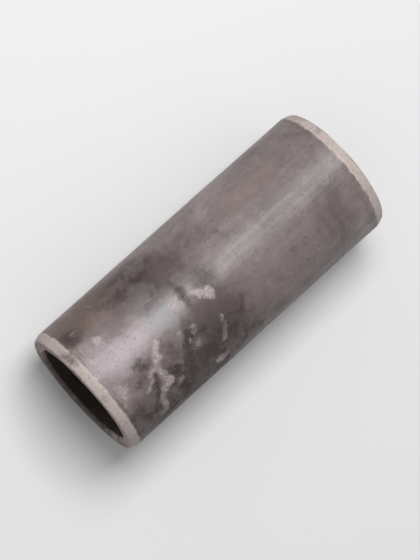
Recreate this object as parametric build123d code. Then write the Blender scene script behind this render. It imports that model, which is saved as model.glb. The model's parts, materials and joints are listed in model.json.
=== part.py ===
from build123d import *
import os

# Plain-ended clay drain pipe, one fired piece, lying on a level floor.
# Frame: +X runs along the pipe, +Z is up, and z = 0 is the floor it lies on.
# The origin is under the middle of the pipe, where it touches the floor.

# Driving dimensions, in millimetres
PIPE_LENGTH = 300.0
BORE_DIAMETER = 100.0
WALL = 12.5
RIM_BEVEL_LENGTH = 7.0
RIM_BEVEL_DEPTH = 2.5
RIM_ROUNDING = 1.5
SHOULDER_ROUNDING = 6.0
BORE_LIP_ROUNDING = 3.0

# What follows from them
bore_radius = BORE_DIAMETER / 2
outer_radius = bore_radius + WALL
rim_radius = outer_radius - RIM_BEVEL_DEPTH
half_length = PIPE_LENGTH / 2
bevel_start = half_length - RIM_BEVEL_LENGTH


def wall_section():
    """Half the pipe's section: the wall above the axis, with a bevelled rim at both ends.

    Both ends are alike, so the points are written for one end and mirrored for the other.
    """
    end_points = [
        (bevel_start, outer_radius),
        (half_length, rim_radius),
        (half_length, bore_radius),
    ]
    far_points = [(-x, r) for x, r in reversed(end_points)]
    with BuildSketch(Plane.XY) as section:
        with BuildLine():
            Polyline(*end_points, *far_points, close=True)
        make_face()
        shoulders = section.vertices().filter_by(lambda v: on_radius(v, outer_radius))
        fillet(shoulders, SHOULDER_ROUNDING)
        rims = section.vertices().filter_by(lambda v: on_radius(v, rim_radius))
        fillet(rims, RIM_ROUNDING)
        lips = section.vertices().filter_by(lambda v: on_radius(v, bore_radius))
        fillet(lips, BORE_LIP_ROUNDING)
    return section.sketch


def on_radius(vertex, radius):
    """True for a corner of the section that lies at this distance from the axis."""
    same_place = 0.001
    return abs(vertex.Y - radius) < same_place


def make_pipe():
    """The whole pipe: its wall section turned once about the pipe's axis."""
    turned = revolve(wall_section(), axis=Axis.X, revolution_arc=360)
    return Pos(0, 0, outer_radius) * turned


os.makedirs("parts", exist_ok=True)
pipe = make_pipe()
pipe.label = "pipe"
export_step(pipe, "parts/pipe.step")
print("pipe volume, cubic millimetres:", round(pipe.volume))
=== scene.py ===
"""Dresses the packed clay drain pipe: its fired skin, worn rims, bore, lime and dirt, and its studio.

The file is laid out as an add-on and is run as a script. Lengths are in metres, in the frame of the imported
part: +X runs along the pipe, +Z is up, and z = 0 is the floor. The mouth that shows best is the one at -X.
"""

import json
import math
from collections import namedtuple
from functools import partial, partialmethod

import bpy
import numpy as np
from bpy.props import FloatProperty, FloatVectorProperty, IntProperty, PointerProperty
from bpy.types import Operator, Panel, PropertyGroup
from mathutils import Matrix, Vector, noise


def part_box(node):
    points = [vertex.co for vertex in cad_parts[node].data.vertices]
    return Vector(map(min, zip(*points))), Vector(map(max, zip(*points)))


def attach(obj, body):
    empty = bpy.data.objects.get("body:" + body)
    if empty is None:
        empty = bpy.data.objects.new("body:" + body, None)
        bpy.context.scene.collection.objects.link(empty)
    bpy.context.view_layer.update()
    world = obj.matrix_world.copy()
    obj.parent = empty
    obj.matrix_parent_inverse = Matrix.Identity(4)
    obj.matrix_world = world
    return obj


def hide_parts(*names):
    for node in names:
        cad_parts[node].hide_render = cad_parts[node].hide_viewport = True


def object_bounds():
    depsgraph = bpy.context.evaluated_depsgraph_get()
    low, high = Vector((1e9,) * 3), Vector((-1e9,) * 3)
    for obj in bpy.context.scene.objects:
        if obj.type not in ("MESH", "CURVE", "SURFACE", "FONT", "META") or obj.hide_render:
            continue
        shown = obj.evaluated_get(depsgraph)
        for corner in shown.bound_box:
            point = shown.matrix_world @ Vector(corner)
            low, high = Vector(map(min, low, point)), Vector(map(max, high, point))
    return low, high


bl_info = {
    "name": "Clay Drain Pipe",
    "version": (1, 0, 0),
    "blender": (4, 5, 0),
    "location": "3D View > Sidebar > Clay Pipe",
    "description": "Builds a fired clay drain pipe with worn rims, lime and dirt, and a studio for it",
    "category": "Add Mesh",
}

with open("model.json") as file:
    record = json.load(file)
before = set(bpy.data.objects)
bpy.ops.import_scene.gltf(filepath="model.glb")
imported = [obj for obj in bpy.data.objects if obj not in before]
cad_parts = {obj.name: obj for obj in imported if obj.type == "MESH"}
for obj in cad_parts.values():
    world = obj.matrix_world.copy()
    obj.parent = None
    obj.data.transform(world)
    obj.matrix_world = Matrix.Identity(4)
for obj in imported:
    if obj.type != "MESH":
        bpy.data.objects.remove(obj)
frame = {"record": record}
CAD_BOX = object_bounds()

MM = 0.001
PIPE_NODE = "pipe"


def mount_size(mount_name, size_name):
    """A size of one of the part's mounts, in metres."""
    for mount in frame["record"]["mounts"]:
        if mount["name"] == mount_name:
            return mount["dims"][size_name] * MM
    raise ValueError(f"the record has no mount named {mount_name}")


def paint(red, green, blue):
    """A colour as a paint chart gives it, 0 to 255 a channel, turned into Blender's linear numbers."""
    def linear(channel):
        share = channel / 255
        return share / 12.92 if share <= 0.04045 else ((share + 0.055) / 1.055) ** 2.4
    return (linear(red), linear(green), linear(blue))


PIPE_LOW, PIPE_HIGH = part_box(PIPE_NODE)
PIPE_LENGTH = PIPE_HIGH.x - PIPE_LOW.x
OUTER_RADIUS = mount_size("barrel", "r_mm")
BORE_RADIUS = mount_size("bore", "r_mm")
BORE_LIP = (PIPE_LENGTH - mount_size("bore", "length_mm")) / 2


# Settings that a user would change

def number(name, description, default, least=0.0, **kind):
    """A setting that is a number, plain or of another kind."""
    return FloatProperty(name=name, description=description, default=default, min=least, **kind)


metres = partial(number, unit="LENGTH")
factor = partial(number, max=1, subtype="FACTOR")


def degrees(name, description, size):
    """A setting that is an angle."""
    return number(name, description, math.radians(size), subtype="ANGLE", unit="ROTATION")


def shade(name, description, *channels):
    """A setting that is a colour, given as a paint chart has it."""
    return FloatVectorProperty(
        name=name, description=description, default=paint(*channels), min=0, max=1, subtype="COLOR")


class ClayPipeShape(PropertyGroup):
    """Sizes of the pipe's section and of its mesh."""

    length: metres("Length", "End to end", PIPE_LENGTH, 0.05)
    outer_radius: metres("Outside radius", "Axis to the outside of the barrel", OUTER_RADIUS, 0.01)
    bore_radius: metres("Bore radius", "Axis to the wall of the bore", BORE_RADIUS, 0.005)
    bore_lip: metres("Bore lip", "Rounding where the bore meets the end", BORE_LIP, 0.0005)
    bevel_length: metres("Bevel length", "How far the rim's bevel runs along the pipe", 7 * MM, 0.001)
    bevel_depth: metres("Bevel depth", "How much the bevel takes off the radius", 2.5 * MM, 0.0005)
    rim_rounding: metres("Rim rounding", "Rounding between bevel and end", 1.5 * MM, 0.0002)
    shoulder_rounding: metres("Shoulder rounding", "Rounding between bevel and barrel", 6 * MM, 0.0002)
    steps_around: IntProperty(name="Steps around", description="Faces in one ring", default=300, min=24)
    fine_step: metres("Fine step", "Face length on the rims", 0.75 * MM, 0.0002)
    barrel_step: metres("Barrel step", "Face length along the barrel", 1.9 * MM, 0.0005)
    bore_step: metres("Bore step", "Face length along the bore", 3.2 * MM, 0.0005)


class ClayPipeRelief(PropertyGroup):
    """Heights and depths of what drying, the die, trimming and use left on the clay."""

    ovality: metres("Ovality", "How far drying flattened the section", 0.35 * MM)
    bow: metres("Bow", "How far the middle sags from a straight line", 0.4 * MM)
    waves: metres("Waves", "Height of the broad hollows and swells", 0.28 * MM)
    drag_lines: metres("Drag lines", "Height of the lines that the die left along the pipe", 0.07 * MM)
    trimming: metres("Trimming rings", "Depth of the rings that trimming left near the rims", 0.16 * MM)
    rim_unevenness: metres("Rim unevenness", "How unevenly the rim was bevelled", 0.3 * MM)
    lime_height: metres("Lime height", "Thickness of the lime runs and splashes", 0.12 * MM)
    grime_height: metres("Grime height", "Thickness of the dirt crust", 0.22 * MM)


class ClayPipeFinish(PropertyGroup):
    """Colours and gloss of the fired clay and of what lies on it, some of which are painted highlight and
    painted shade.
    """

    body: shade("Body", "Fired clay where it is neither pale nor dark", 118, 106, 105)
    body_pale: shade("Pale body", "Fired clay in its palest flashes", 142, 129, 128)
    body_dark: shade("Dark body", "Fired clay in its darkest flashes", 95, 84, 83)
    blush: shade("Blush", "Pinkish flashes of the fire", 140, 119, 112)
    # Bloom and lilac film are partly painted highlight on top; warm film and damp are partly painted shade.
    bloom: shade("Bloom", "Cool chalky film on top", 135, 133, 137)
    lilac: shade("Lilac film", "Chalky film near the mouth", 163, 149, 154)
    warm_film: shade("Warm film", "Brownish film that seeping water left", 89, 70, 60)
    damp: shade("Damp", "Dark damp patches", 50, 34, 32)
    raw_clay: shade("Raw clay", "Rims and nicks, where the skin is gone", 188, 174, 169)
    lime: shade("Lime", "Lime runs and splashes", 184, 173, 170)
    grime: shade("Grime", "Dark dirt crust", 50, 39, 38)
    grime_brown: shade("Brown grime", "Thin edge of the dirt", 80, 68, 66)
    bore: shade("Bore", "Darkened clay inside", 86, 75, 69)
    silt: shade("Silt", "Stain that the water left in the bore", 56, 46, 39)
    specks: shade("Specks", "Small dark specks all through the clay", 58, 46, 42)
    skin_roughness: factor("Skin roughness", "Roughness of the clean fired skin", 0.44)
    skin_specular: factor("Skin gloss", "Specular level of the fired skin", 0.55)


class ClayPipeStudio(PropertyGroup):
    """Camera, lamps and floor."""

    camera_distance: metres("Camera distance", "Camera to the middle of the pipe", 2.15)
    focal_length: number("Focal length", "Focal length in millimetres", 160, 10)
    camera_bearing: degrees("Camera bearing", "Camera's direction from the pipe, turned from +X", 154.1)
    camera_elevation: degrees("Camera elevation", "Camera's height above the horizon", 76.4)
    axis_in_picture: degrees("Axis in the picture", "Slope of the pipe's axis, up to the right", 42.0)
    lamp_power: number("Lamp power", "Watts of the soft lamp overhead", 26.2)
    side_power: number("Side lamp power", "Watts of the weaker lamp at the +Y side", 1.5)
    fill_strength: number("Fill strength", "Light that comes from all round", 0.4)
    floor: shade("Floor", "Floor and backdrop", 226, 226, 226)
    floor_bounce: factor("Floor bounce", "Share of the floor's colour that lights the pipe from below", 0.5)
    lit_radius: metres("Lit radius", "How far out the floor takes its light from the lamps", 0.38, 0.1)


# The pipe's section

SKIN, CUT_END, BORE = range(3)
FEWEST_IN_CORNER = 3
ProfilePoint = namedtuple("ProfilePoint", "along radius finish")


def run(start, end, step, finish):
    """Points from start up to, and not including, end, spaced about a step apart."""
    count = max(1, round(math.dist(start, end) / step))
    return [
        ProfilePoint(*(a + (b - a) * i / count for a, b in zip(start, end)), finish) for i in range(count)
    ]


def rounded_corner(before, corner, after, radius, step, finish):
    """Points along the arc that rounds a corner, with its first and last tangent points."""
    corner = Vector(corner)
    back = (Vector(before) - corner).normalized()
    ahead = (Vector(after) - corner).normalized()
    half_angle = back.angle(ahead) / 2
    centre = corner + (back + ahead).normalized() * radius / math.sin(half_angle)
    first = corner + back * radius / math.tan(half_angle) - centre
    last = corner + ahead * radius / math.tan(half_angle) - centre
    turn = first.angle(last)
    count = max(FEWEST_IN_CORNER, round(radius * turn / step))
    points = []
    for i in range(count + 1):
        share = i / count
        spoke = (first * math.sin((1 - share) * turn) + last * math.sin(share * turn)) / math.sin(turn)
        points.append(ProfilePoint(*(centre + spoke), finish))
    return points


def pipe_profile(shape):
    """The wall's closed section, from the middle of the bore round one rim, along the barrel and back."""
    half, bore, outer, fine = shape.length / 2, shape.bore_radius, shape.outer_radius, shape.fine_step
    lip = (half, bore)
    rim = (half, outer - shape.bevel_depth)
    shoulder = (half - shape.bevel_length, outer)
    bore_middle, barrel_middle = (0.0, bore), (0.0, outer)
    lip_arc = rounded_corner(bore_middle, lip, rim, shape.bore_lip, fine, CUT_END)
    rim_arc = rounded_corner(lip, rim, shoulder, shape.rim_rounding, fine / 2, CUT_END)
    shoulder_arc = rounded_corner(rim, shoulder, barrel_middle, shape.shoulder_rounding, fine, SKIN)
    near_lip = (half - shape.bore_lip - 10 * shape.bore_step, bore)
    half_section = [
        *run(bore_middle, near_lip, shape.bore_step, BORE),
        *run(near_lip, lip_arc[0][:2], shape.bore_step / 2, BORE),
        *lip_arc[:-1],
        *run(lip_arc[-1][:2], rim_arc[0][:2], fine, CUT_END),
        *rim_arc[:-1],
        *run(rim_arc[-1][:2], shoulder_arc[0][:2], fine, SKIN),
        *shoulder_arc[:-1],
        *run(shoulder_arc[-1][:2], barrel_middle, shape.barrel_step, SKIN),
    ]
    return mirrored_loop(half_section, barrel_middle)


def mirrored_loop(half_section, barrel_middle):
    """Joins half a section and its mirror image. A point's finish is that of the face after it."""
    mirrored = [ProfilePoint(*barrel_middle, SKIN)]
    for i in range(len(half_section) - 1, 0, -1):
        along, radius, _ = half_section[i]
        mirrored.append(ProfilePoint(-along, radius, half_section[i - 1].finish))
    return half_section + mirrored


def profile_normals(profile):
    """Outward normals of the section at its points, which go round it anticlockwise, as (along, radial)."""
    places = np.array([point[:2] for point in profile])
    ahead = np.roll(places, -1, axis=0) - places
    ahead /= np.linalg.norm(ahead, axis=1)[:, None]
    tangent = ahead + np.roll(ahead, 1, axis=0)
    tangent /= np.linalg.norm(tangent, axis=1)[:, None]
    return np.column_stack([tangent[:, 1], -tangent[:, 0]])


# Marks on the clay, in millimetres and degrees. A place is its distance from the mouth at -X and its angle
# from the top towards +Y. A patch has half its length along, half its width around, and a turn from along
# towards around. A run is a streak through several places, with half its width.

Patch = namedtuple("Patch", "from_mouth around along_half around_half turn strength")
Run = namedtuple("Run", "places half_width strength")

MARKS = {
    # Damp patches, partly painted shade: the lower side and the parts past the sheen are darkened partly as
    # painted shade, and the upper side further in is painted shadow.
    "damp": {
        "lower side": Patch(68, -55, 74, 28, 0, 1.12),
        "past the sheen": Patch(112, -28, 32, 23, 6, 1.2),
        "low down, past the sheen": Patch(126, -58, 28, 18, 0, 0.9),
        "beside the rim, lower side": Patch(14, -44, 11, 12, 0, 0.9),
        "beside the rim, upper side": Patch(18, 47, 7, 8, 20, 0.8),
        "upper side, further in": Patch(94, 47, 30, 21, -14, 1.0),
    },
    "grime": {
        "smudge under the sheen": Patch(47, -8, 8, 4.6, -28, 0.75),
        "smudge's tail": Run([(43, -10), (34, -18)], 4.2, 0.45),
        "streak beside the fork": Run([(48, -22), (43, -31), (37, -45)], 3.4, 0.8),
        "spot in the fork": Patch(64, -29, 5.5, 5, 10, 1.25),
        "patch past the fork": Patch(71, -12, 8, 5, 0, 0.5),
        "bent streak, low part": Run([(75, -48), (80, -37), (84, -26)], 4.2, 1.2),
        "bent streak, high part": Run([(84, -26), (87, -18), (94, -14)], 3.6, 1.15),
        "low patch": Patch(81, -38, 6, 7, -25, 0.9),
        # Partly painted shade, darkening the lower side further in
        "low patch further in": Patch(100, -38, 15, 10, -15, 1.1),
        "spot past the bent streak": Patch(105, -19, 4.5, 5, 0, 0.85),
        # Partly painted shadow, darkening the far part low down
        "low patch past the band": Patch(121, -36, 13, 13, -10, 0.9),
        "low patch, far down": Patch(88, -60, 17, 7, 8, 0.9),
        "in the band across the sheen": Run([(111, 24), (110, 11), (109, 1)], 2.4, 0.6),
    },
    # Brown stains; the brown zones are partly painted shadow that darkens the far part of the pipe.
    "stain_and_shadow": {
        "band across the sheen": Run([(111, 28), (110, 11), (109, -4)], 4.4, 1.0),
        "brown zone": Patch(120, -16, 20, 20, 8, 1.35),
        "brown zone, upper side": Patch(114, 38, 15, 15, -10, 1.0),
        "brown zone on top": Patch(132, 10, 12, 13, 0, 0.9),
        "gap in the bare rim": Patch(3, 36, 7, 8, 0, 0.72),
    },
    "lime": {
        "speck": Patch(30.4, 29.5, 2.8, 3.3, 0, 1.7),
        "small speck": Patch(17, 20, 2.3, 2.8, 10, 1.6),
        "forked run, top": Run([(66, -3), (61, -9), (55, -17)], 2.4, 1.0),
        "forked run, foot": Run([(55, -17), (54, -24), (56, -34)], 3.2, 0.95),
        "forked run, branch": Run([(54, -17), (43, -20), (37, -26)], 2.4, 0.65),
        "run below the fork": Run([(50, -33), (45, -44), (40, -58)], 3.6, 0.65),
        "splash below the fork": Patch(64, -41, 3.4, 3.4, 0, 0.8),
        "splash under the sheen": Patch(87, -10, 3.2, 3.4, 0, 0.7),
        "splash past it": Patch(99, -14, 3.2, 3.0, 0, 0.4),
        "rubbed patch": Patch(94, -25, 8, 6, -35, 0.4),
        "low splash": Patch(108, -56, 6, 5, 0, 0.6),
        "run past the brown zone": Run([(117, -40), (122, -30), (126, -22)], 2.4, 0.4),
        "patch past the band": Run([(119, 8), (123, 5), (128, -1)], 3.2, 1.0),
        "patch before the band": Patch(98, 11, 5, 8, 0, 0.75),
        "beside the rim": Patch(16, -16, 6, 13, 0, 0.65),
        "beside the rim, on top": Patch(13, 14, 5, 10, 0, 0.5),
    },
    # Warm film on the upper side; its dark colour is partly painted shade.
    "film": {
        "upper side": Patch(38, 66, 36, 22, 0, 1.0),
        "by the rim": Patch(12, 55, 12, 14, 0, 0.7),
    },
    # Cool chalky bloom, partly a painted highlight and painted reflection: it lightens and cools the top
    # where the lamp's sheen falls.
    "bloom": {
        "on the sheen": Patch(88, 9, 17, 12, 0, 1.0),
        "upper side": Patch(78, 31, 16, 10, 0, 0.45),
    },
    # Lilac chalky film, partly a painted highlight: it lightens the top near the mouth where the lamp's
    # sheen falls.
    "lilac": {
        "on the sheen": Patch(42, 8, 30, 13, 0, 1.0),
        "beside the rim": Patch(20, 19, 14, 14, 0, 0.9),
    },
    "blush": {
        "upper side": Patch(50, 44, 15, 8, -12, 0.8),
        "beside the rim": Patch(14, 32, 9, 8, 0, 0.8),
        "past the middle, upper side": Patch(212, 42, 28, 14, 10, 0.6),
        "past the middle, lower side": Patch(180, -44, 24, 12, -15, 0.5),
        "underside": Patch(120, -150, 40, 20, 12, 0.6),
        "back": Patch(170, 118, 36, 18, -8, 0.6),
    },
}
# How far the damp colour darkens the underside, more where it faces further down
DARKER_UNDERNEATH = 0.38

# How far the outline of a mark strays, and over what length
STRAYING = ((3.5 * MM, 13 * MM), (2.2 * MM, 5.5 * MM))

# How far from a rim the trimming rings start, and where they are at full depth
RINGS_START, RINGS_FULL = 24 * MM, 9 * MM

# Nicks in the rims, in degrees and millimetres. The end is -1 at the mouth and 1 at the far end.

Nick = namedtuple("Nick", "end around on_lip width depth")

NICKS = [
    Nick(-1, 37, False, 5.0, 0.9),
    Nick(-1, 15, False, 3.6, 0.6),
    Nick(-1, -38, False, 2.8, 0.5),
    Nick(-1, 118, False, 6.5, 1.3),
    Nick(-1, -128, True, 5.0, 0.9),
    Nick(-1, 70, True, 4.2, 0.8),
    Nick(1, -64, False, 6.0, 1.1),
    Nick(1, 24, False, 3.5, 0.6),
    Nick(1, 152, True, 5.5, 1.0),
    Nick(1, 96, False, 4.5, 0.8),
]


def smooth_step(value, low, high):
    """0 at low, 1 at high, and an even curve between. Either may be the greater."""
    share = np.clip((value - low) / (high - low), 0, 1)
    return share * share * (3 - 2 * share)


def fading(distance):
    """1 in a mark's middle, about half at its half width, and nearly nothing at twice that."""
    return np.exp(-0.5 * distance * distance - 0.15 * distance ** 4)


def unroll(from_mouth, around, radius):
    """A mark's place on the unrolled barrel, in metres."""
    return np.array([from_mouth * MM, math.radians(around) * radius])


def patch_strength(patch, unrolled, radius):
    """How strongly a patch covers each place."""
    off = unrolled - unroll(patch.from_mouth, patch.around, radius)
    turn = math.radians(patch.turn)
    lengthwise = off @ np.array([math.cos(turn), math.sin(turn)]) / (patch.along_half * MM)
    crosswise = off @ np.array([-math.sin(turn), math.cos(turn)]) / (patch.around_half * MM)
    return patch.strength * fading(np.hypot(lengthwise, crosswise))


def run_strength(streak, unrolled, radius):
    """How strongly a run covers each place, by how near the run's line is."""
    corners = np.array([unroll(*place, radius) for place in streak.places])
    nearest = np.full(len(unrolled), np.inf)
    for start, end in zip(corners, corners[1:]):
        leg = end - start
        share = np.clip((unrolled - start) @ leg / (leg @ leg), 0, 1)
        gap = np.linalg.norm(unrolled - start - share[:, None] * leg, axis=1)
        nearest = np.minimum(nearest, gap)
    return streak.strength * fading(nearest / (streak.half_width * MM))


def cover(marks, unrolled, radius):
    """The strongest of several patches and runs at each place."""
    strengths = [
        (run_strength if isinstance(mark, Run) else patch_strength)(mark, unrolled, radius)
        for mark in marks.values()
    ]
    return np.max(strengths, axis=0)


# The pipe's surface

def sampled(function, places):
    """A noise of mathutils, worked out at each place."""
    return np.array([function(place) for place in places])


def broad_waves(places):
    """Broad hollows and swells, about 7 cm across, from drying and handling."""
    per_metre, evenness, finer_by, layers = 14, 0.9, 2.1, 3
    return sampled(lambda place: noise.fractal(place, evenness, finer_by, layers), places * per_metre)


def noise_around(lengthwise, angle, ring):
    """A noise that closes up round the pipe, with more waves in a turn the wider its ring is."""
    return sampled(noise.noise, np.column_stack([lengthwise, np.cos(angle) * ring, np.sin(angle) * ring]))


def lumps(places, size):
    """Small lumps, from -1 to 1."""
    return sampled(noise.noise, places / size)


class PipeSurface:
    """Every vertex of the pipe: its place, its outward direction, how worn, limed or dirty it is, and how
    much painted shade and highlight lie on it.
    """

    def __init__(self, shape, relief):
        self.shape = shape
        self.relief = relief
        self.profile = pipe_profile(shape)
        self.ring_size = shape.steps_around
        self.turn_out()
        self.lay_marks()
        self.raise_relief()
        self.scoop_nicks()
        self.rest_on_floor()

    def turn_out(self):
        """Turns the section once about the axis. Angles are from the top towards +Y."""
        ring = self.ring_size
        self.angle = np.tile(np.arange(ring) / ring * 2 * math.pi - math.pi, len(self.profile))
        section = np.column_stack([[point[:2] for point in self.profile], profile_normals(self.profile)])
        self.along, self.radius, normal_along, normal_radial = np.repeat(section.T, ring, axis=1)
        self.facing_out = np.clip(normal_radial, 0, 1)
        y, z = np.sin(self.angle), np.cos(self.angle)
        self.places = np.column_stack([self.along, y * self.radius, z * self.radius])
        self.normals = np.column_stack([normal_along, y * normal_radial, z * normal_radial])

    def lay_marks(self):
        """Works out how strongly each kind of mark covers each vertex."""
        radius = self.shape.outer_radius
        unrolled = np.column_stack([self.along + self.shape.length / 2, self.angle * radius])
        for side, apart in enumerate((0.0, radius)):
            for distance, lump_size in STRAYING:
                unrolled[:, side] += distance * lumps(self.places + apart, lump_size)
        self.shares = {
            name: cover(marks, unrolled, radius) * self.facing_out for name, marks in MARKS.items()
        }
        underside = smooth_step(-np.cos(self.angle), -0.1, 0.9) * self.facing_out
        self.shares["damp"] = np.maximum(self.shares["damp"], DARKER_UNDERNEATH * underside)
        self.shares["worn"] = np.zeros(len(self.along))

    def raise_relief(self):
        """Moves the vertices along their normals by all that drying, the die, trimming and dirt left."""
        relief, along, angle = self.relief, self.along, self.angle
        half, bevel = self.shape.length / 2, self.shape.bevel_length
        from_rim = half - np.abs(along)
        near_rim = smooth_step(from_rim, RINGS_START, RINGS_FULL) * self.facing_out
        on_bevel = smooth_step(from_rim, bevel, bevel / 2)
        limed = smooth_step(self.shares["lime"], 0.35, 0.8)
        dirty = smooth_step(self.shares["grime"], 0.3, 0.8)
        crumbs = 0.6 + 0.6 * lumps(self.places, 3.5 * MM)
        lines_in_a_turn, ring_width = 110, 3.2 * MM
        height = relief.waves * broad_waves(self.places)
        height += relief.drag_lines * noise_around(along * 5, angle, lines_in_a_turn / (2 * math.pi))
        height += relief.trimming * near_rim * noise_around(along / ring_width, angle, 1.6)
        height += relief.rim_unevenness * on_bevel * noise_around(np.sign(along) * 3, angle, 2.4)
        height += relief.lime_height * limed * crumbs
        height += relief.grime_height * dirty * lumps(self.places, 5 * MM)
        self.places += self.normals * height[:, None]
        oval = relief.ovality * np.cos(2 * angle) * self.radius / self.shape.outer_radius
        self.places[:, 1] += -np.sin(angle) * oval
        self.places[:, 2] += -np.cos(angle) * np.abs(oval) * 0.5
        self.places[:, 2] -= relief.bow * (1 - (along / half) ** 2)

    def scoop_nicks(self):
        """Takes shell-shaped nicks out of the rims. A nick is a ball sunk into the corner of the end."""
        shape, worn = self.shape, self.shares["worn"]
        for nick in NICKS:
            angle = math.radians(nick.around)
            width, depth = nick.width * MM, nick.depth * MM
            radius, lean = shape.outer_radius - shape.bevel_depth, 1.0
            if nick.on_lip:
                radius, lean = shape.bore_radius + 0.3 * shape.bore_lip, -1.0
            ball = ((width / 2) ** 2 + depth ** 2) / (2 * depth)
            y, z = math.sin(angle), math.cos(angle)
            out = Vector((nick.end, lean * y, lean * z)).normalized()
            corner = Vector((nick.end * (shape.length / 2), y * radius, z * radius))
            offset = self.places - np.array(corner + out * (ball - depth))
            distance = np.linalg.norm(offset, axis=1)
            near = distance < ball * 1.3
            rough = np.zeros(len(distance))
            rough[near] = lumps(self.places[near], 1.3 * MM) * 0.18 * depth
            inside = distance < ball + rough
            push = (ball + rough - distance)[inside]
            self.places[inside] += offset[inside] / distance[inside][:, None] * push[:, None]
            worn[inside] = np.maximum(worn[inside], smooth_step(push, 0.0, 0.25 * depth))

    def rest_on_floor(self):
        """Lifts the pipe by its outside radius and rests its lowest line on the floor."""
        height = self.places[:, 2] + self.shape.outer_radius
        self.places[:, 2] = np.maximum(height - max(0.0, height.min()), 0.0)


def faces_between(rows, ring, closed):
    """Four corners for each face between rows of points, where each row is a closed ring."""
    row, step = np.divmod(np.arange((rows if closed else rows - 1) * ring), ring)
    next_row, next_step = (row + 1) % rows, (step + 1) % ring
    corners = ((row, step), (row, next_step), (next_row, next_step), (next_row, step))
    return np.column_stack([in_row * ring + in_ring for in_row, in_ring in corners]).tolist()


def build_pipe_mesh(surface, materials):
    """A Blender mesh of the surface, with its marks as attributes that the materials read."""
    finishes = [point.finish for point in surface.profile]
    faces = faces_between(len(finishes), surface.ring_size, closed=True)
    mesh = bpy.data.meshes.new("clay_pipe")
    mesh.from_pydata(surface.places.tolist(), [], faces)
    for material in materials:
        mesh.materials.append(material)
    mesh.polygons.foreach_set("material_index", np.repeat(finishes, surface.ring_size))
    mesh.polygons.foreach_set("use_smooth", np.ones(len(mesh.polygons), bool))
    for name, share in surface.shares.items():
        attribute = mesh.attributes.new(name, "FLOAT", "POINT")
        attribute.data.foreach_set("value", share.astype(np.float32))
    mesh.update()
    mesh.validate()
    return mesh


# Node wiring

class Wiring:
    """Places nodes in one node tree and joins them, left to right."""

    ROWS, ROW_HEIGHT, COLUMN_WIDTH = 6, 260, 220

    def __init__(self, tree):
        self.tree = tree

    def add(self, kind, inputs=None, **settings):
        """A new node. Its inputs are given by number or by name, as sockets or as plain values."""
        column, row = divmod(len(self.tree.nodes), self.ROWS)
        node = self.tree.nodes.new(kind)
        node.location = (column * self.COLUMN_WIDTH, -row * self.ROW_HEIGHT)
        for name, value in settings.items():
            setattr(node, name, value)
        for key, value in (inputs or {}).items():
            self.feed(node.inputs[key], value)
        return node

    def feed(self, socket, value):
        if isinstance(value, bpy.types.NodeSocket):
            self.tree.links.new(value, socket)
        elif isinstance(value, tuple) and socket.type == "RGBA":
            socket.default_value = (*value[:3], 1.0)
        else:
            socket.default_value = value

    def maths(self, operation, first, second=0.0):
        return self.add("ShaderNodeMath", {0: first, 1: second}, operation=operation).outputs[0]

    plus = partialmethod(maths, "ADD")
    minus = partialmethod(maths, "SUBTRACT")
    times = partialmethod(maths, "MULTIPLY")

    def off(self, value, middle):
        """How far a value is from a middle one."""
        return self.maths("ABSOLUTE", self.minus(value, middle))

    def remap(self, value, low, high, to_low=0.0, to_high=1.0):
        """A smooth step from to_low at low to to_high at high."""
        given = {"Value": value, "From Min": low, "From Max": high, "To Min": to_low, "To Max": to_high}
        return self.add("ShaderNodeMapRange", given, interpolation_type="SMOOTHSTEP").outputs["Result"]

    def mix(self, share, first, second, kind="RGBA"):
        """A share of the second colour, or plain value, over the first."""
        a, b, result = (6, 7, 2) if kind == "RGBA" else (2, 3, 0)
        given = {0: share, a: first, b: second}
        return self.add("ShaderNodeMix", given, data_type=kind, clamp_factor=True).outputs[result]

    def noise(self, vector, scale, detail=3.0, roughness=0.55, distortion=0.0):
        given = dict(Vector=vector, Scale=scale, Detail=detail, Roughness=roughness, Distortion=distortion)
        return self.add("ShaderNodeTexNoise", given).outputs["Fac"]

    def drawn_out(self, vector, per_metre, **noise_settings):
        """Noise with its own number of waves to the metre along each axis."""
        stretched = self.add("ShaderNodeVectorMath", {0: vector, 1: per_metre}, operation="MULTIPLY")
        return self.noise(stretched.outputs[0], 1, **noise_settings)

    def cells(self, vector, scale):
        """The distance from the nearest of many scattered points, and that point's colour."""
        node = self.add("ShaderNodeTexVoronoi", {"Vector": vector, "Scale": scale}, feature="F1")
        return node.outputs["Distance"], node.outputs["Color"]

    def spots(self, vector, scale, edge, chosen):
        """Small soft-edged spots at those scattered points whose colour is chosen."""
        distance, colour = self.cells(vector, scale)
        return self.times(self.remap(distance, *edge), self.remap(colour, *chosen))

    def attribute(self, name):
        return self.add("ShaderNodeAttribute", attribute_name=name).outputs["Fac"]

    def group(self, tree, **values):
        given = {name.replace("_", " ").capitalize(): value for name, value in values.items()}
        return self.add("ShaderNodeGroup", given, node_tree=tree).outputs

    def give(self, results):
        """Ends a node group: makes an output for each result, and returns the group."""
        for name, value in results.items():
            kind = SOCKET_KINDS[value.type]
            self.tree.interface.new_socket(name=name, in_out="OUTPUT", socket_type=kind)
        self.add("NodeGroupOutput", results)
        return self.tree


COLOUR, VECTOR = "RGBA", "VECTOR"
SOCKET_KINDS = {"VALUE": "NodeSocketFloat", COLOUR: "NodeSocketColor", VECTOR: "NodeSocketVector"}


def new_group(name, inputs):
    """Begins a node group. An input is a kind of socket, or the number that a plain value starts from."""
    tree = bpy.data.node_groups.new(name, "ShaderNodeTree")
    for socket_name, start in inputs.items():
        kind = SOCKET_KINDS.get(start, "NodeSocketFloat")
        socket = tree.interface.new_socket(name=socket_name, in_out="INPUT", socket_type=kind)
        if start not in SOCKET_KINDS:
            socket.default_value = start
    wiring = Wiring(tree)
    return wiring, wiring.add("NodeGroupInput").outputs


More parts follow.
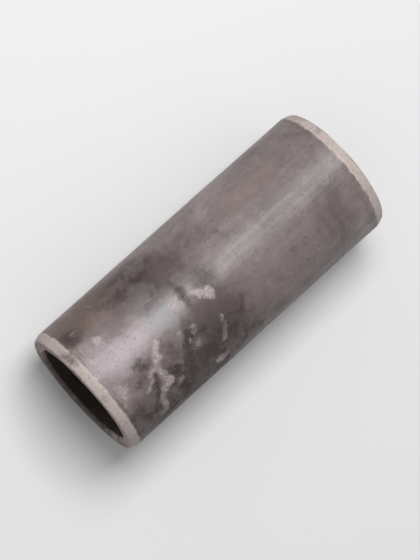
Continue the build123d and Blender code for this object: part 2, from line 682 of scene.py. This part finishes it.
def clay_place_group():
    """Where a point is on the pipe: how far from the rim, how far it looks up, and its place unrolled."""
    wiring, given = new_group("Clay place", {"Position": VECTOR, "Axis height": 0.0, "Half length": 0.0})
    x, y, z = wiring.add("ShaderNodeSeparateXYZ", {0: given["Position"]}).outputs
    height = wiring.minus(z, given["Axis height"])
    radius = wiring.maths("SQRT", wiring.plus(wiring.times(y, y), wiring.times(height, height)))
    around = wiring.times(wiring.maths("ARCTAN2", y, height), given["Axis height"])
    return wiring.give({
        "From rim": wiring.minus(given["Half length"], wiring.maths("ABSOLUTE", x)),
        "Upness": wiring.maths("DIVIDE", height, radius),
        "Radius": radius,
        "Unrolled": wiring.add("ShaderNodeCombineXYZ", {"X": x, "Y": around}).outputs[0],
    })


def clay_body_group():
    """The fired clay itself: broad flashes, mottling, streaks along the pipe, grain, specks and pores."""
    wiring, given = new_group("Clay body", {
        "Position": VECTOR, "Body": COLOUR, "Pale": COLOUR, "Dark": COLOUR, "Speck": COLOUR,
        "Streaks": 0.3, "Specks": 0.5,
    })
    place, pale, dark = given["Position"], given["Pale"], given["Dark"]
    flashes = wiring.noise(place, 15, detail=4, roughness=0.6, distortion=0.8)
    mottle = wiring.noise(place, 110, detail=5, roughness=0.62, distortion=0.3)
    streak = wiring.drawn_out(place, (9, 230, 230), detail=4, roughness=0.6)
    grain = wiring.noise(place, 850, roughness=0.7)
    speck = wiring.spots(place, 240, edge=(0.3, 0.14), chosen=(0.80, 0.86))
    pores = wiring.spots(place, 520, edge=(0.34, 0.1), chosen=(0.66, 0.72))
    colour = given["Body"]
    for share, tint in (
        (wiring.remap(flashes, 0.5, 0.70), pale),
        (wiring.remap(flashes, 0.5, 0.32), dark),
        (wiring.remap(mottle, 0.52, 0.72, 0, 0.5), pale),
        (wiring.remap(mottle, 0.48, 0.3, 0, 0.6), dark),
        (wiring.times(wiring.remap(streak, 0.52, 0.7), given["Streaks"]), pale),
        (wiring.remap(grain, 0.55, 0.75, 0, 0.4), dark),
        (wiring.times(speck, given["Specks"]), given["Speck"]),
    ):
        colour = wiring.mix(share, colour, tint)
    height = wiring.times(mottle, 0.5)
    for part, share in ((grain, 0.12), (streak, 0.3), (pores, -0.5)):
        height = wiring.plus(height, wiring.times(part, share))
    return wiring.give({"Colour": colour, "Height": height, "Pores": pores})


def broken_cover_group():
    """Turns a soft share into a cover with broken edges, as dirt, lime and wear have them."""
    wiring, given = new_group("Broken cover", {
        "Position": VECTOR, "Share": 0.0, "Scale": 100.0, "Raggedness": 0.6, "Softness": 0.2, "Grain": 0.5,
    })
    broad = wiring.noise(given["Position"], given["Scale"], detail=8, roughness=0.7, distortion=0.6)
    swing = wiring.times(wiring.minus(broad, 0.5), 4.0)
    level = wiring.plus(given["Share"], wiring.times(swing, given["Raggedness"]))
    edge = wiring.remap(level, wiring.minus(0.5, given["Softness"]), wiring.plus(0.5, given["Softness"]))
    touched = wiring.remap(given["Share"], 0.02, 0.2)
    gaps = wiring.remap(wiring.noise(given["Position"], 420, detail=4, roughness=0.7), 0.6, 0.34)
    density = wiring.minus(1.0, wiring.times(gaps, given["Grain"]))
    mask = wiring.times(wiring.times(edge, touched), density)
    return wiring.give({"Mask": mask, "Thickness": wiring.times(mask, broad)})


def scratches_group():
    """Thin broken lines that run one way over the unrolled barrel."""
    wiring, given = new_group("Scratches", {"Unrolled": VECTOR, "Turn": 0.0, "Share": 0.4})
    turned = wiring.add(
        "ShaderNodeVectorRotate", {"Vector": given["Unrolled"], "Angle": given["Turn"]},
        rotation_type="Z_AXIS").outputs[0]
    ground = wiring.drawn_out(turned, (3.5, 62, 0), detail=0, roughness=0.5)
    line = wiring.remap(wiring.off(ground, 0.5), 0.012, 0.003)
    breaks = wiring.drawn_out(turned, (34, 75, 0), detail=3, roughness=0.6)
    whole_from = wiring.minus(0.68, wiring.times(given["Share"], 0.3))
    whole = wiring.remap(breaks, whole_from, wiring.plus(whole_from, 0.12))
    return wiring.give({"Mask": wiring.times(line, whole)})


def spatter_group():
    """Round drops of uneven size, closer together where the share is higher."""
    wiring, given = new_group("Spatter", {"Position": VECTOR, "Share": 0.0, "Scale": 260.0})
    distance, drop_colour = wiring.cells(given["Position"], given["Scale"])
    fewest = wiring.minus(1.02, wiring.times(given["Share"], 0.6))
    chosen = wiring.remap(wiring.minus(drop_colour, fewest), 0.0, 0.02)
    radius = wiring.remap(drop_colour, 0.2, 1.0, 0.16, 0.34)
    drop = wiring.remap(wiring.minus(distance, radius), 0.05, -0.05)
    return wiring.give({"Mask": wiring.times(drop, chosen)})


def shared_groups():
    """The node groups that the clay's materials share, built once."""
    return {
        "place": clay_place_group(),
        "body": clay_body_group(),
        "cover": broken_cover_group(),
        "scratches": scratches_group(),
        "spatter": spatter_group(),
    }


# Materials

# How a coat breaks up: the scale, raggedness and softness of its edge, and how full of small gaps it is
Edges = namedtuple("Edges", "scale raggedness softness grain", defaults=[0.5])


class ClayMaterial:
    """One finish of the pipe: a shader with the clay body under any number of coats."""

    def __init__(self, name, groups, shape, colours, streaks, specks):
        self.material = bpy.data.materials.new(name)
        self.material.use_nodes = True
        tree = self.material.node_tree
        self.shader = tree.nodes["Principled BSDF"]
        self.wiring = Wiring(tree)
        self.groups = groups
        self.position = self.wiring.add("ShaderNodeTexCoord").outputs["Object"]
        self.place = self.group("place", axis_height=shape.outer_radius, half_length=shape.length / 2)
        body, pale, dark, speck = (tuple(colour) for colour in colours)
        clay = self.group(
            "body", body=body, pale=pale, dark=dark, speck=speck, streaks=streaks, specks=specks)
        self.colour = clay["Colour"]
        self.height = clay["Height"]
        self.pores = clay["Pores"]
        self.roughness = None

    def group(self, name, **values):
        """The outputs of one of the shared groups, placed at the clay's own position."""
        return self.wiring.group(self.groups[name], position=self.position, **values)

    def coat(self, mask, colour, roughness, strength=1.0):
        """Lays a colour and its roughness over what is there, where the mask says."""
        share = self.wiring.times(mask, strength)
        self.colour = self.wiring.mix(share, self.colour, tuple(colour))
        self.roughness = self.wiring.mix(share, self.roughness, roughness, "FLOAT")

    def lay(self, share, edges, colour, roughness, strength=1.0, height=0.0):
        """Lays a coat with broken edges, which stands up by a height where one is given."""
        cover = self.group("cover", share=share, **edges._asdict())
        self.coat(cover["Mask"], colour, roughness, strength)
        if height:
            self.build_up(cover["Thickness"], height)

    def build_up(self, thickness, amount):
        """Adds to the height that the bump reads."""
        self.height = self.wiring.plus(self.height, self.wiring.times(thickness, amount))

    def scratch(self, turn, share, colour, strength):
        """Draws thin lines at a turn from the pipe's axis."""
        lines = self.wiring.group(
            self.groups["scratches"], unrolled=self.place["Unrolled"], turn=turn, share=share)
        self.coat(lines["Mask"], colour, 0.6, strength)

    def finish(self, bump_height, specular=0.5):
        """Joins colour, roughness and bump to the shader."""
        bump = self.wiring.add(
            "ShaderNodeBump", {"Strength": 1.0, "Distance": bump_height, "Height": self.height})
        self.wiring.feed(self.shader.inputs["Base Color"], self.colour)
        self.wiring.feed(self.shader.inputs["Roughness"], self.roughness)
        self.wiring.feed(self.shader.inputs["Normal"], bump.outputs["Normal"])
        self.shader.inputs["Specular IOR Level"].default_value = specular
        return self.material


def skin_material(groups, shape, finish):
    """The outside of the pipe: a satin fired skin under film, damp, grime and lime, with pale bare rims. Its
    pale top films are partly painted highlight; its darker film, damp and stains partly painted shade.
    """
    colours = (finish.body, finish.body_pale, finish.body_dark, finish.specks)
    clay = ClayMaterial("fired_skin", groups, shape, colours, streaks=0.3, specks=0.7)
    polish = clay.wiring.drawn_out(clay.position, (12, 130, 130), detail=4, roughness=0.6)
    smoothest, roughest = finish.skin_roughness - 0.05, finish.skin_roughness + 0.08
    clay.roughness = clay.wiring.remap(polish, 0.3, 0.7, smoothest, roughest)
    lay_films(clay, finish)
    lay_damp_and_shade(clay, finish)
    bare_rims(clay, shape, finish)
    lay_dirt_and_lime(clay, finish)
    scrape(clay, finish)
    return clay.finish(0.22 * MM, finish.skin_specular)


def lay_films(clay, finish):
    """Thin films that fire and seeping water left: warm on one side, cool and chalky on top. The pale films
    on top are partly a painted highlight where the lamp's sheen falls, and the warm film's dark colour is
    partly painted shade.
    """
    for name, colour, roughness in (
        ("blush", finish.blush, 0.48),
        ("lilac", finish.lilac, 0.43),
        ("bloom", finish.bloom, 0.43),
        ("film", finish.warm_film, 0.5),
    ):
        clay.lay(clay.wiring.attribute(name), Edges(36, 0.45, 0.5, 0.25), colour, roughness, 0.85)


def lay_damp_and_shade(clay, finish):
    """Dark damp patches between dried pale ones, where the damp share says, with a faint tide line. Part of
    that share is painted shade on the lower side and painted shadow over the far part.
    """
    wiring = clay.wiring
    damp = wiring.attribute("damp")
    patches = wiring.drawn_out(clay.position, (80, 58, 58), detail=6, roughness=0.55, distortion=0.25)
    dark = wiring.times(wiring.remap(patches, 0.55, 0.4), damp)
    pale = wiring.times(wiring.remap(patches, 0.54, 0.7), damp)
    shore = wiring.times(wiring.remap(wiring.off(patches, 0.53), 0.05, 0.0), damp)
    clay.coat(damp, finish.damp, 0.75, 0.72)
    clay.coat(dark, finish.damp, 0.75, 0.8)
    clay.coat(pale, finish.body_pale, 0.7, 0.3)
    clay.lay(shore, Edges(60, 0.6, 0.5), finish.lime, 0.55, 0.06)


def bare_rims(clay, shape, finish):
    """Pale clay on the rims, where handling took the skin off, with dirt on it and in the rings beside."""
    wiring = clay.wiring
    from_rim = clay.place["From rim"]
    rings = wiring.drawn_out(clay.position, (420, 9, 9), detail=3, roughness=0.6)
    groove = wiring.times(wiring.remap(rings, 0.5, 0.36), wiring.remap(from_rim, RINGS_START, RINGS_FULL))
    clay.coat(groove, finish.grime_brown, 0.5, 0.4)
    near_rim = wiring.remap(from_rim, shape.bevel_length + 5 * MM, shape.bevel_length - 1 * MM)
    clay.lay(near_rim, Edges(130, 0.34, 0.22, 0.25), finish.raw_clay, 0.6, 0.96)
    clouds = wiring.noise(clay.position, 60, detail=4, roughness=0.6, distortion=0.4)
    clay.coat(wiring.times(wiring.remap(clouds, 0.5, 0.72), near_rim), finish.blush, 0.65, 0.55)
    low = wiring.remap(clay.place["Upness"], 0.45, -0.7, 0.0, 0.62)
    clay.lay(wiring.times(low, near_rim), Edges(75, 0.75, 0.3), finish.grime_brown, 0.7, 0.8)


def lay_dirt_and_lime(clay, finish):
    """Brown stains, partly painted shadow, dark crusts and pale lime, with spatters of both."""
    wiring = clay.wiring
    clay.lay(wiring.attribute("stain_and_shadow"), Edges(60, 0.5, 0.4, 0.3), finish.grime_brown, 0.65, 0.9)
    for name, thin_colour, thick_colour, thin_strength, thick_strength in (
        ("grime", finish.grime_brown, finish.grime, 0.7, 0.9),
        ("lime", finish.body_pale, finish.lime, 0.6, 0.65),
    ):
        share = wiring.attribute(name)
        thin, thick = wiring.times(share, 1.3), wiring.times(share, 0.85)
        clay.lay(thin, Edges(62, 0.6, 0.45, 0.35), thin_colour, 0.5, thin_strength)
        clay.lay(thick, Edges(120, 0.8, 0.38), thick_colour, 0.6, thick_strength, height=0.8)
        clay.coat(clay.group("spatter", share=share)["Mask"], thick_colour, 0.6, thick_strength)
    clay.coat(clay.pores, finish.grime_brown, 0.7, 0.5)


def scrape(clay, finish):
    """Scratches along and across the skin, and bare clay in the nicks."""
    clay.scratch(0.1, 0.4, finish.body_pale, 0.6)
    clay.scratch(1.25, 0.2, finish.raw_clay, 0.4)
    clay.coat(clay.wiring.attribute("worn"), finish.raw_clay, 0.8)


def cut_end_material(groups, shape, finish):
    """The ends, cut with a wire before firing: bare, rough and pale, with soil rubbed into them, darker
    towards the bottom partly as painted shade.
    """
    colours = (finish.raw_clay, finish.lime, finish.body_pale, finish.specks)
    clay = ClayMaterial("cut_end_clay", groups, shape, colours, streaks=0.0, specks=1.0)
    wiring, upness = clay.wiring, clay.place["Upness"]
    clay.roughness = wiring.remap(wiring.noise(clay.position, 120), 0.3, 0.7, 0.62, 0.8)
    wire_marks = wiring.drawn_out(clay.position, (200, 90, 1400), detail=3, roughness=0.6)
    clay.build_up(wire_marks, 0.5)
    middle_radius = (shape.bore_radius + shape.outer_radius) / 2
    grey_core = wiring.remap(wiring.off(clay.place["Radius"], middle_radius), 4 * MM, 1 * MM)
    # Darker towards the bottom of each end: soil rubbed in, and partly painted shade
    soiled_and_shaded = wiring.remap(upness, 0.6, -1.0, 0.15, 0.75)
    washed = wiring.remap(upness, -0.3, -0.9)
    clay.lay(grey_core, Edges(90, 0.5, 0.45), finish.body, 0.72, 0.35)
    clay.lay(soiled_and_shaded, Edges(80, 0.7, 0.3, 0.2), finish.grime_brown, 0.75, 0.75)
    clay.lay(washed, Edges(60, 0.5, 0.4, 0.15), finish.silt, 0.65, 0.6)
    clay.coat(clay.pores, finish.grime, 0.8, 0.7)
    clay.coat(wiring.attribute("worn"), finish.raw_clay, 0.82)
    return clay.finish(0.4 * MM)


def bore_material(groups, shape, finish):
    """The bore: dull clay, darkened all round, with a silt stain where the water ran."""
    colours = (finish.bore, finish.body_dark, finish.silt, finish.specks)
    clay = ClayMaterial("bore_clay", groups, shape, colours, streaks=0.5, specks=0.6)
    wiring, upness = clay.wiring, clay.place["Upness"]
    clay.roughness = wiring.remap(wiring.noise(clay.position, 70), 0.3, 0.7, 0.5, 0.66)
    silted = wiring.remap(upness, -0.35, -0.7)
    crusted = wiring.remap(upness, -0.6, -0.98, 0.0, 0.65)
    clay.lay(silted, Edges(45, 0.35, 0.22), finish.silt, 0.5, 0.85, height=0.6)
    clay.lay(crusted, Edges(110, 0.7, 0.15), finish.grime, 0.6, 0.85, height=1.0)
    clay.coat(clay.pores, finish.grime, 0.75, 0.6)
    return clay.finish(0.35 * MM, specular=0.2)


def floor_material(studio):
    """A plain matt paint that shows pale, throws little light back up, and looks even far off."""
    material = bpy.data.materials.new("floor_paint")
    material.use_nodes = True
    nodes = material.node_tree.nodes
    wiring = Wiring(material.node_tree)
    rays = wiring.add("ShaderNodeLightPath").outputs
    seen = rays["Is Camera Ray"]
    for ray in ("Is Glossy Ray", "Is Transmission Ray"):
        seen = wiring.maths("MAXIMUM", seen, rays[ray])
    colour = tuple(studio.floor)
    dull = tuple(channel * studio.floor_bounce for channel in colour)
    shader = nodes["Principled BSDF"]
    wiring.feed(shader.inputs["Base Color"], wiring.mix(seen, dull, colour))
    shader.inputs["Roughness"].default_value = 0.9
    shader.inputs["Specular IOR Level"].default_value = 0.2
    place = wiring.add("ShaderNodeTexCoord").outputs["Object"]
    from_middle = wiring.add("ShaderNodeVectorMath", {0: place}, operation="LENGTH").outputs["Value"]
    far_off = wiring.remap(from_middle, studio.lit_radius, 3 * studio.lit_radius)
    even = wiring.add("ShaderNodeEmission", {"Color": colour})
    blend = wiring.add(
        "ShaderNodeMixShader", {0: wiring.times(seen, far_off), 1: shader.outputs[0], 2: even.outputs[0]})
    wiring.feed(nodes["Material Output"].inputs["Surface"], blend.outputs[0])
    return material


# Operators

class MESH_OT_clay_drain_pipe_add(Operator):
    """Adds the fired clay pipe, with its skin, cut ends and bore, in place of the plain solid"""

    bl_idname = "mesh.clay_drain_pipe_add"
    bl_label = "Add Clay Drain Pipe"

    def execute(self, context):
        scene = context.scene
        shape, finish = scene.clay_pipe_shape, scene.clay_pipe_finish
        groups = shared_groups()
        materials = [
            make_material(groups, shape, finish)
            for make_material in (skin_material, cut_end_material, bore_material)
        ]
        mesh = build_pipe_mesh(PipeSurface(shape, scene.clay_pipe_relief), materials)
        pipe = bpy.data.objects.new("fired_clay_pipe", mesh)
        scene.collection.objects.link(pipe)
        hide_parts(PIPE_NODE)
        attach(pipe, "root")
        return {"FINISHED"}


class SCENE_OT_clay_pipe_studio_add(Operator):
    """Adds the floor, the soft lamps and the camera, which looks steeply down on the pipe"""

    bl_idname = "scene.clay_pipe_studio_add"
    bl_label = "Add Pipe Studio"

    def execute(self, context):
        studio = context.scene.clay_pipe_studio
        aim = (CAD_BOX[0] + CAD_BOX[1]) / 2
        add_floor(context.scene, studio)
        add_lamps(context.scene, studio, aim)
        set_world(context.scene, studio)
        add_camera(context.scene, studio, aim)
        context.scene.view_settings.view_transform = "Standard"
        return {"FINISHED"}


def add_floor(scene, studio):
    """A wide round floor at z = 0, which curves up at its edge into a low backdrop."""
    flat_radius, curve_radius, corners, steps = 6.0, 1.2, 96, 8
    turns = [2 * math.pi * i / corners for i in range(corners)]
    vertices = []
    for step in range(steps + 1):
        climb = math.pi / 2 * step / steps
        radius = flat_radius + curve_radius * math.sin(climb)
        height = curve_radius * (1 - math.cos(climb))
        vertices += [(radius * math.cos(turn), radius * math.sin(turn), height) for turn in turns]
    mesh = bpy.data.meshes.new("studio_floor")
    mesh.from_pydata(vertices, [], [list(range(corners)), *faces_between(steps + 1, corners, closed=False)])
    mesh.materials.append(floor_material(studio))
    floor = bpy.data.objects.new("studio_floor", mesh)
    scene.collection.objects.link(floor)


def add_lamps(scene, studio, aim):
    """Soft lamps that face the pipe: one overhead, which its top mirrors, and a weaker one at +Y."""
    for name, offset, size, power in (
        ("overhead_softbox", Vector((0.34, 0.48, 1.7)), (0.9, 0.8), studio.lamp_power),
        ("side_softbox", Vector((0.0, 1.7, 1.1)), (1.2, 0.9), studio.side_power),
    ):
        light = bpy.data.lights.new(name, "AREA")
        light.shape = "RECTANGLE"
        light.size, light.size_y = size
        light.energy = power
        back = offset.normalized()
        across = back.cross(Vector((1, 0, 0))).normalized()
        lamp = bpy.data.objects.new(name, light)
        place_on_axes(scene, lamp, aim + offset, (across.cross(back), across, back))


def place_on_axes(scene, thing, place, axes):
    """Puts a lamp or camera at a place, with its own x, y and z along the axes."""
    turned = Matrix(axes).transposed().to_4x4()
    thing.matrix_world = Matrix.Translation(place) @ turned
    scene.collection.objects.link(thing)


def set_world(scene, studio):
    """Even fill light from all round."""
    world = bpy.data.worlds.new("studio_world")
    world.use_nodes = True
    scene.world = world
    fill = world.node_tree.nodes["Background"]
    fill.inputs["Color"].default_value = (1.0, 1.0, 1.0, 1.0)
    fill.inputs["Strength"].default_value = studio.fill_strength


def add_camera(scene, studio, aim):
    """A long lens that looks down on the pipe, rolled so that the pipe's axis climbs to the right."""
    bearing, elevation = studio.camera_bearing, studio.camera_elevation
    level = math.cos(elevation)
    back = Vector((math.cos(bearing) * level, math.sin(bearing) * level, math.sin(elevation)))
    axis_seen = (Vector((1, 0, 0)) - back * back.x).normalized()
    across_seen = back.cross(axis_seen)
    slope = studio.axis_in_picture
    right = axis_seen * math.cos(slope) - across_seen * math.sin(slope)
    camera_data = bpy.data.cameras.new("camera")
    camera_data.lens = studio.focal_length
    camera_data.sensor_width = 36
    camera_data.clip_start, camera_data.clip_end = 0.05, 100
    camera = bpy.data.objects.new("camera", camera_data)
    place_on_axes(scene, camera, aim + back * studio.camera_distance, (right, back.cross(right), back))
    scene.camera = camera


# Panel and registration

class VIEW3D_PT_clay_pipe(Panel):
    """Lists the pipe's settings and the operators that build it"""

    bl_idname = "VIEW3D_PT_clay_pipe"
    bl_label = "Clay Drain Pipe"
    bl_space_type = "VIEW_3D"
    bl_region_type = "UI"
    bl_category = "Clay Pipe"

    def draw(self, context):
        for group_name in SETTINGS:
            box = self.layout.box()
            box.label(text=group_name.replace("_", " ").capitalize())
            settings = getattr(context.scene, group_name)
            for setting_name in settings.__annotations__:
                box.prop(settings, setting_name)
        self.layout.operator(MESH_OT_clay_drain_pipe_add.bl_idname)
        self.layout.operator(SCENE_OT_clay_pipe_studio_add.bl_idname)


SETTINGS = {
    "clay_pipe_shape": ClayPipeShape,
    "clay_pipe_relief": ClayPipeRelief,
    "clay_pipe_finish": ClayPipeFinish,
    "clay_pipe_studio": ClayPipeStudio,
}
CLASSES = (
    *SETTINGS.values(),
    MESH_OT_clay_drain_pipe_add,
    SCENE_OT_clay_pipe_studio_add,
    VIEW3D_PT_clay_pipe,
)


def register():
    for cls in CLASSES:
        bpy.utils.register_class(cls)
    for name, group in SETTINGS.items():
        setattr(bpy.types.Scene, name, PointerProperty(type=group))


def unregister():
    for name in SETTINGS:
        delattr(bpy.types.Scene, name)
    for cls in reversed(CLASSES):
        bpy.utils.unregister_class(cls)


def main():
    """Builds the pipe and its studio."""
    register()
    bpy.ops.mesh.clay_drain_pipe_add()
    bpy.ops.scene.clay_pipe_studio_add()


if __name__ == "__main__":
    main()
